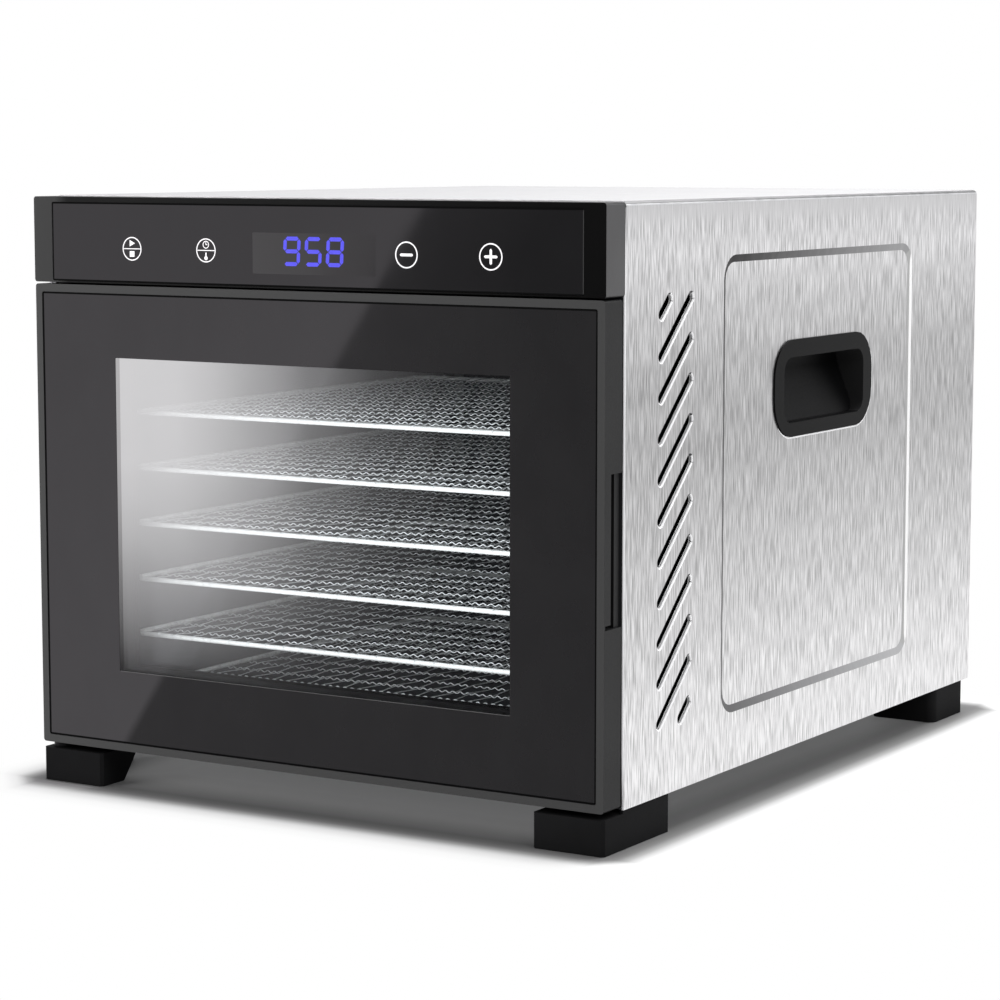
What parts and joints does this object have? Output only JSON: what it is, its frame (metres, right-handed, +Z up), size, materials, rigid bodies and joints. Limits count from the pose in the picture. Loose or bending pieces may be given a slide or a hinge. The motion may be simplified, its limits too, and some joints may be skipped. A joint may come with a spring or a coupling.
{
  "type": "food dehydrator",
  "caption": "Countertop food dehydrator: brushed steel box on corner feet, side-hinged glazed door, touch controls, sliding wire trays and a rear fan with a heating ring.",
  "frame": {"origin": "on the floor under the middle of the box", "axes": "+Z up; the door faces -Y; +X is the side with the door's finger pocket, and the hinge is at -X"},
  "size_m": [0.345, 0.45, 0.311],
  "materials": {
    "brushed_steel": "brushed along the height",
    "sheet_steel": "plain rolled",
    "black_steel": "satin black",
    "black_plastic": "fine moulded grain",
    "cup_plastic": "fine moulded grain",
    "front_plastic": "satin",
    "control_glass": "polished",
    "display": "polished, lit digits",
    "brass": "plain",
    "circuit_board": "lacquered",
    "heater_sheath": "heat-darkened",
    "motor_iron": "stacked plates",
    "bronze": "sintered",
    "steel_parts": "zinc plated",
    "ceramic": "unglazed",
    "wire_jacket": "smooth jacket",
    "clear_glass": "polished",
    "black_print": "fired ink",
    "silicone": "soft matt",
    "magnet": "nickel plated",
    "fan_aluminium": "pressed",
    "tray_wire": "bright wire"
  },
  "bodies": {
    "housing": {"outer_wrap": "brushed_steel", "base_pan": "sheet_steel", "rear_panel": "black_steel", "rear_vent_cover": "black_plastic", "front_bulkhead": "black_steel", "foot_front_left": "black_plastic", "foot_front_right": "black_plastic", "foot_rear_left": "black_plastic", "foot_rear_right": "black_plastic", "handle_cup_left": "cup_plastic", "handle_cup_right": "cup_plastic", "control_fascia": "front_plastic", "control_glass": "control_glass", "display_module": "display", "touch_pads": "brass", "control_board": "circuit_board", "chamber_floor": "sheet_steel", "chamber_ceiling": "sheet_steel", "liner_left": "sheet_steel", "liner_right": "sheet_steel", "tray_ledges_left": "sheet_steel", "tray_ledges_right": "sheet_steel", "fan_baffle": "sheet_steel", "motor_wall": "sheet_steel", "heating_element": "heater_sheath", "fan_motor": "motor_iron", "motor_bearings": "bronze", "motor_bracket": "sheet_steel", "temperature_sensor": "steel_parts", "thermal_cutoff": "ceramic", "power_board": "circuit_board", "board_standoffs": "brass", "power_inlet": "black_plastic", "internal_wiring": "wire_jacket", "rear_panel_screws": "steel_parts", "foot_screws": "steel_parts", "hinge_bracket_upper": "black_steel", "hinge_bracket_lower": "black_steel", "hinge_pins": "steel_parts", "strike_plate": "sheet_steel", "motor_screws": "steel_parts"},
    "door": {"door_frame": "front_plastic", "door_glass": "clear_glass", "door_mask": "black_print", "door_inner_panel": "black_steel", "door_inner_glass": "clear_glass", "door_seal": "silicone", "catch_magnet": "magnet", "door_panel_screws": "steel_parts"},
    "fan": {"fan_rotor": "fan_aluminium", "fan_shaft": "steel_parts", "fan_nut": "brass"},
    "tray_body_1": {"tray_1": "tray_wire"},
    "tray_body_2": {"tray_2": "tray_wire"},
    "tray_body_3": {"tray_3": "tray_wire"},
    "tray_body_4": {"tray_4": "tray_wire"},
    "tray_body_5": {"tray_5": "tray_wire"},
    "tray_body_6": {"tray_6": "tray_wire"}
  },
  "joints": [
    {"name": "door_hinge", "type": "hinge", "parent": "housing", "child": "door", "pos_m": [-0.1658, -0.217, 0.0208], "axis": [0, 0, -1], "range_deg": [0, 110]},
    {"name": "fan_spin", "type": "hinge", "parent": "housing", "child": "fan", "pos_m": [0, 0.124, 0.145], "axis": [0, 1, 0], "continuous": true},
    {"name": "tray_1_slide", "type": "slide", "parent": "housing", "child": "tray_body_1", "axis": [0, -1, 0], "range_m": [0, 0.024]},
    {"name": "tray_2_slide", "type": "slide", "parent": "housing", "child": "tray_body_2", "axis": [0, -1, 0], "range_m": [0, 0.024]},
    {"name": "tray_3_slide", "type": "slide", "parent": "housing", "child": "tray_body_3", "axis": [0, -1, 0], "range_m": [0, 0.024]},
    {"name": "tray_4_slide", "type": "slide", "parent": "housing", "child": "tray_body_4", "axis": [0, -1, 0], "range_m": [0, 0.024]},
    {"name": "tray_5_slide", "type": "slide", "parent": "housing", "child": "tray_body_5", "axis": [0, -1, 0], "range_m": [0, 0.024]},
    {"name": "tray_6_slide", "type": "slide", "parent": "housing", "child": "tray_body_6", "axis": [0, -1, 0], "range_m": [0, 0.024]}
  ]
}
